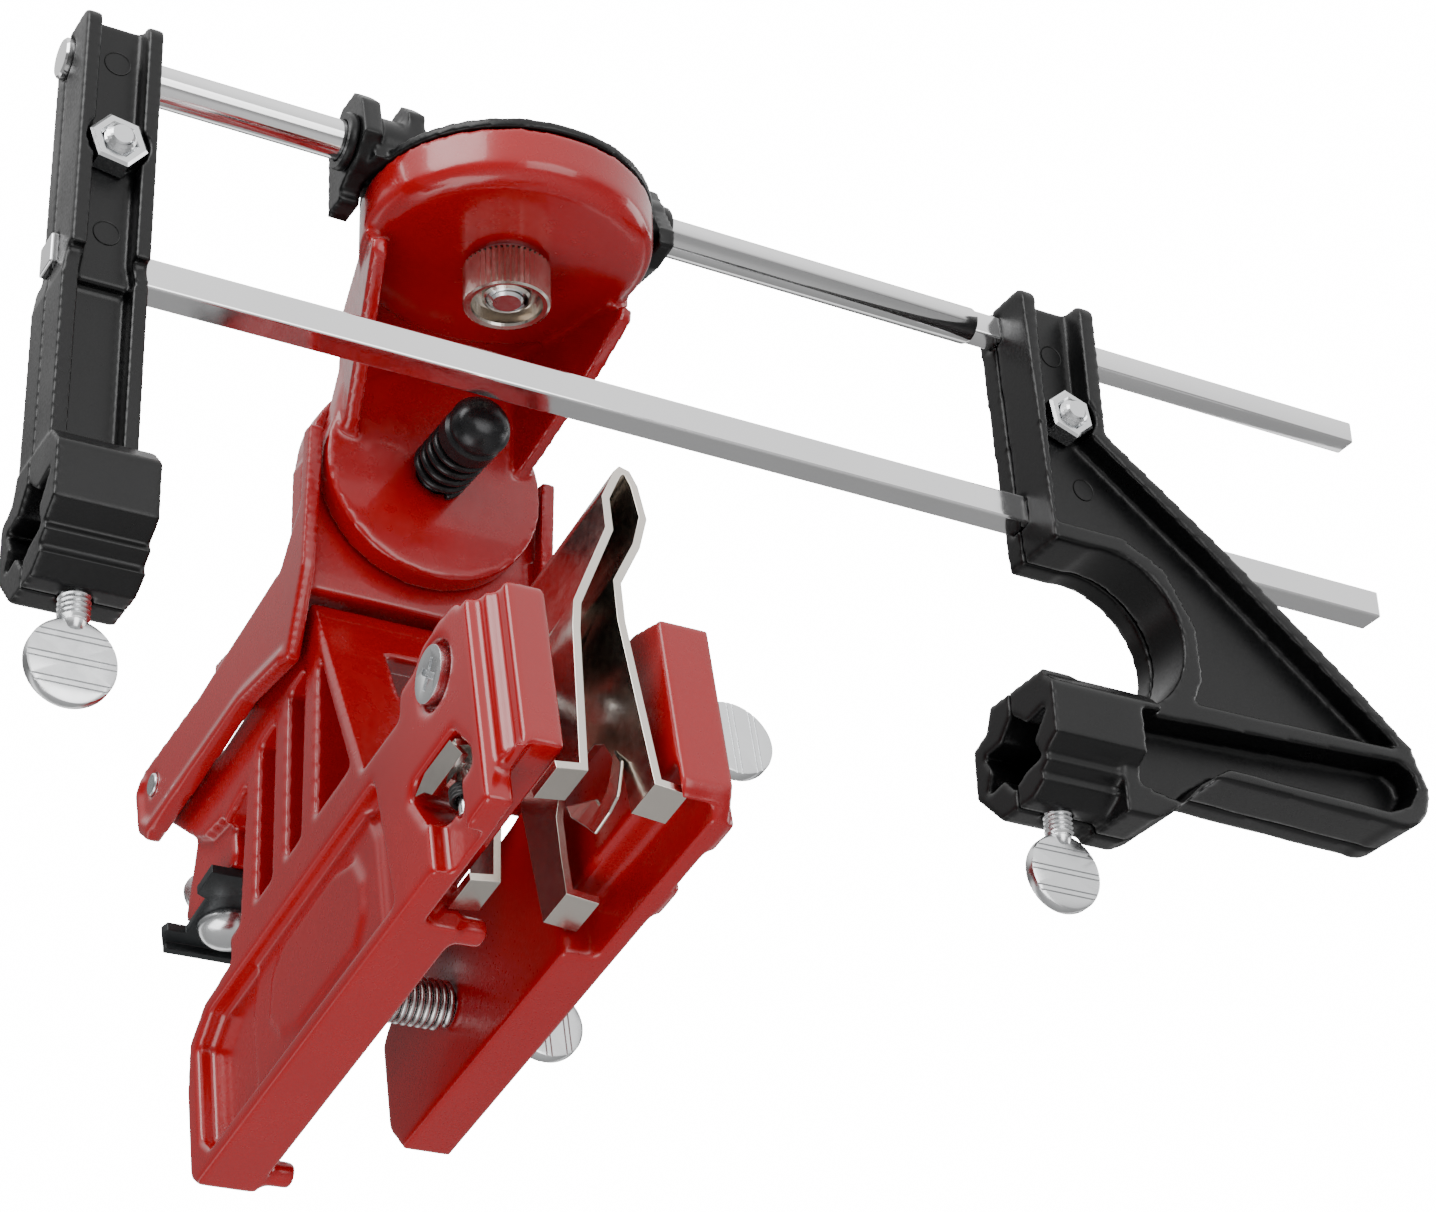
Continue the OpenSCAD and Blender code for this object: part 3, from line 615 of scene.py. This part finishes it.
show(meshed(black_coil, "tilt_coil"), "tilt_coil", "head", oxide,
     ["tilt_spring"])
trimmed("tilt_lock_nut", "tilt_nut", "yoke", zinc, width=0.5)

# ---- Head ----
# One casting: the round dial, a back plate that sweeps down to a round pad, and two side walls.
# The dial's lower front edge is well rounded.
top_half_wide = 24.9
narrowing = 0.2586


def sweep(solid):
    """Hollow curve under the dial that runs down into the pad and narrows on the way."""
    curve_y, curve_z, curve_radius, half_wide = 14.5, 9, 18, 22
    curve = [(curve_y + curve_radius * sin(radians(a)), curve_z + curve_radius * cos(radians(a)))
             for a in range(0, 91, 6)]
    made = plate(solid, [(34, 6), (34, 28.4), (8, 28.4), (8, 27)] + curve, -half_wide, half_wide)
    for vert in made:
        vert.co.x *= (top_half_wide - narrowing * (vert.co.y - 8)) / half_wide
    bmesh.ops.transform(solid, matrix=bars_place, verts=made)


# This cutter runs round the front of the dial and leaves its lower edge with a quarter round.
edge_inside, edge_radius = 24.5, 4.55
ring = [(edge_inside, 25), (31, 25), (31, 31.6), (29.1, 31.6)]
ring += [(edge_inside + edge_radius * cos(radians(a)), 31.5 - edge_radius * sin(radians(a)))
         for a in range(10, 91, 10)]
rim = bmesh.new()
lathe(rim, ring + ring[:1], bars_place @ Matrix.Rotation(radians(174), 4, "Z"), steps=60,
      angle=radians(192))
bmesh.ops.holes_fill(rim, edges=[e for e in rim.edges if e.is_boundary])
bmesh.ops.recalc_face_normals(rim, faces=rim.faces)
cast("head_casting", "head_bracket", "head", red_enamel, voxel=0.0006, rounds=5,
     extra=sweep, cutter=rim)

# ---- Dial fastening ----
# A knurled, nickel-plated nut with a stepped recess turns on the rod guide's bolt.
# With a washer it clamps the guide to the dial. The bolt and washer are zinc-plated.
nut = bmesh.new()
bmesh.ops.create_circle(nut, segments=88, radius=8.35, matrix=Matrix.Translation((0, 0, 17)))
for i, vert in enumerate(list(nut.verts)):
    ridge = 1.035 if i % 2 else 0.97
    vert.co.x *= ridge
    vert.co.y *= ridge
knurled = bmesh.ops.extrude_edge_only(nut, edges=list(nut.edges))["geom"]
bmesh.ops.translate(nut, verts=[v for v in knurled if isinstance(v, bmesh.types.BMVert)],
                    vec=(0, 0, 8.6))
bmesh.ops.transform(nut, matrix=bars_place, verts=nut.verts)
lathe(nut, [(8.5, 17.05), (8.0, 16.8), (7.1, 17.0), (6.9, 17.5), (6.8, 20.2), (4.9, 20.4),
            (4.85, 18.6), (4.3, 18.2), (4.1, 18.6), (4.1, 25.8), (8.2, 25.8), (8.4, 25.5)],
      bars_place, steps=64)
bmesh.ops.recalc_face_normals(nut, faces=nut.faces)
show(meshed(nut, "knurled_dial_nut"), "knurled_dial_nut", "dial_nut", nickel,
     ["knurled_nut"])
stud = bmesh.new()
thread(stud, m8, 17.6, 38.6, pitch=1.25, place=bars_place)
lathe(stud, [(0, 38.4), (6.9, 38.4), (6.9, 40.2), (6.6, 40.5), (0, 40.5)], bars_place)
show(smoothed(stud, "dial_stud"), "dial_stud", "guide", zinc, ["dial_bolt"])
trimmed("dial_lock_washer", "lock_washer", "head", zinc, width=0.15)

# ---- Rod guide ----
# Injection-moulded black nylon with glass fibre: a flange on the dial, fins, and two sleeves.
# It has the fine, slightly cloudy grain of its mould.
nylon = finish("black_nylon", dark=(0.0015, 0.0015, 0.0017), light=(0.004, 0.004, 0.0044),
               rough=(0.26, 0.42), metallic=0.0, fine=1500.0, coarse=60.0, speck=0.2,
               depth=0.000012)
nylon.node_tree.nodes["Principled BSDF"].inputs["Specular IOR Level"].default_value = 0.35
cast("rod_guide_moulding", "rod_guide", "guide", nylon, voxel=0.0005, rounds=2)
along_rod = bars_place @ Matrix.Translation((0, 0, 44.9)) @ Matrix.Rotation(radians(90), 4, "Y")
inner = 18
for name, node, turn, outer in (("left_sleeve", "guide_sleeve_left", -1, 36),
                                ("right_sleeve", "guide_sleeve_right", 1, 35)):
    profile = [(4.06, inner), (4.95, inner), (4.95, outer - 1.9), (5.6, outer - 1.85),
               (5.8, outer - 1.5), (5.8, outer - 0.4), (5.5, outer), (4.3, outer),
               (4.06, outer - 0.3)]
    tube = bmesh.new()
    lathe(tube, [(r, turn * h) for r, h in profile + profile[:1]], along_rod)
    show(smoothed(tube, name), name, "sleeves", nylon, [node])

# ---- Bars ----
# Bright-plated drawn steel: a round rod with a squared end, and a square bar.
# The plating is nearly mirror-bright, and only a little uneven. Both are cut to one length.
chrome = finish("bright_bars", dark=(0.80, 0.80, 0.805), light=(0.88, 0.88, 0.885),
                rough=(0.06, 0.13), metallic=1.0, fine=300.0, coarse=50.0, speck=0.0,
                depth=0.000002)
left_end, right_end = -92.6, 212.2
rod = bmesh.new()
lathe(rod, [(0, left_end), (3.6, left_end), (4, -92.2), (4, 109.2), (3.7, 109.9), (0, 110)],
      along_rod, steps=64)
for face in rod.faces:
    face.smooth = True
made = brick(rod, (109, -2.7, -2.7), (right_end, 2.7, 2.7),
             bars_place @ Matrix.Translation((0, 0, 44.9)))
bmesh.ops.bevel(rod, geom=list({e for v in made for e in v.link_edges}), offset=0.45,
                segments=3, profile=0.5, affect="EDGES", material=-1)
mesh = meshed(rod, "plated_round_rod")
mesh.set_sharp_from_angle(angle=radians(40))
show(mesh, "plated_round_rod", "frame", chrome, ["round_rod"])
bar = bmesh.new()
brick(bar, (left_end, -3.2, -3.2), (right_end, 3.2, 3.2), bars_place)
bmesh.ops.bevel(bar, geom=bar.edges[:], offset=0.45, segments=3, profile=0.5, affect="EDGES",
                material=-1)
show(meshed(bar, "plated_square_bar"), "plated_square_bar", "frame", chrome,
     ["square_bar"])

# ---- Left file arm ----
# Two nylon mouldings close on the bars. A bolt and nut pinch them, and a thumb screw below
# grips the file in the pointed opening.


def rounded_tops(low, high, front):
    """Cutter that rounds the top front corners of an arm's flanges."""
    base, radius, clear = 47.5, 3, 51.5
    arc = [(front + radius - radius * cos(radians(a)), base + radius * sin(radians(a)))
           for a in range(0, 91, 15)]
    tool = bmesh.new()
    plate(tool, [(front - 1, base)] + arc + [(front + radius, clear), (front - 1, clear)],
          low, high, bars_place)
    return tool


def ejector_marks(name, body, spots):
    """Fine round lines left on the moulding by the ejector pins of its mould."""
    forwards = Matrix.Rotation(radians(90), 4, "X")
    rings = bmesh.new()
    for spot in spots:
        lathe(rings, [(2.4, -0.15), (2.4, 0.1), (2.55, 0.16), (2.7, -0.15), (2.4, -0.15)],
              bars_place @ Matrix.Translation(spot) @ forwards, steps=32)
    show(meshed(rings, name), name, body, nylon)


cast("left_arm_front", "left_arm", "frame", nylon, voxel=0.0005, rounds=2,
     cutter=rounded_tops(-93, -75, -11))
cast("left_arm_rear", "left_arm_back", "frame", nylon, voxel=0.0005, rounds=2)
ejector_marks("left_arm_marks", "frame", ((-83.6, -6.5, 42), (-83.6, -6.5, 3.5)))


def pinch_bolt(name, body, nodes, place):
    """Bolt and nut that pinch an arm on the bars."""
    behind = place @ Matrix.Rotation(radians(-90), 4, "X")
    in_front = place @ Matrix.Rotation(radians(90), 4, "X")
    bolt_shape = bmesh.new()
    thread(bolt_shape, m6, -13.2, 5.8, pitch=1.0, place=behind)
    lathe(bolt_shape, [(0, 5.6), (5.3, 5.6), (5.77, 6.0), (5.77, 8.8), (5.2, 9.2), (0, 9.2)],
          behind, steps=6)
    show(meshed(bolt_shape, name + "_bolt"), name + "_bolt", body, zinc, [nodes[0]])
    nut_shape = bmesh.new()
    lathe(nut_shape, [(3.0, 6.6), (5.3, 6.6), (5.71, 7.0), (5.71, 10.9), (5.1, 11.4),
                      (3.9, 11.4), (3.0, 10.8), (3.0, 6.6)], in_front, steps=6)
    show(meshed(nut_shape, name + "_nut"), name + "_nut", body, zinc, [nodes[1]])


pinch_bolt("left_pinch", "frame", ("left_arm_bolt", "left_arm_nut"),
           bars_place @ Matrix.Translation((-83.8, 0, 21.3)) @ Matrix.Rotation(radians(10), 4, "Y"))
thumb_screw("left_thumb_screw", "left_file_screw", "left_thumb",
            bars_place @ Matrix.Translation((-82.8, 0, -70)), length=11, neck=4.5)

# ---- Right file arm ----
# The larger arm has the same two nylon halves, with a deep round relief beside the file.
# Its bolt, nut and thumb screw are like the left arm's, and it slides out along the bars.
cast("right_arm_front", "right_arm", "right_holder", nylon, voxel=0.0006,
     rounds=2, cutter=rounded_tops(115, 136, -12))
cast("right_arm_rear", "right_arm_back", "right_holder", nylon, voxel=0.0006,
     rounds=2)
ejector_marks("right_arm_marks", "right_holder", ((126.5, -6, 38.5), (131.5, -6, 6.5)))
pinch_bolt("right_pinch", "right_holder", ("right_arm_bolt", "right_arm_nut"),
           bars_place @ Matrix.Translation((126.6, 0, 21.3)) @ Matrix.Rotation(radians(20), 4, "Y"))
thumb_screw("right_thumb_screw", "right_file_screw", "right_thumb",
            bars_place @ Matrix.Translation((121.4, 0, -70)), length=11, neck=4.5)
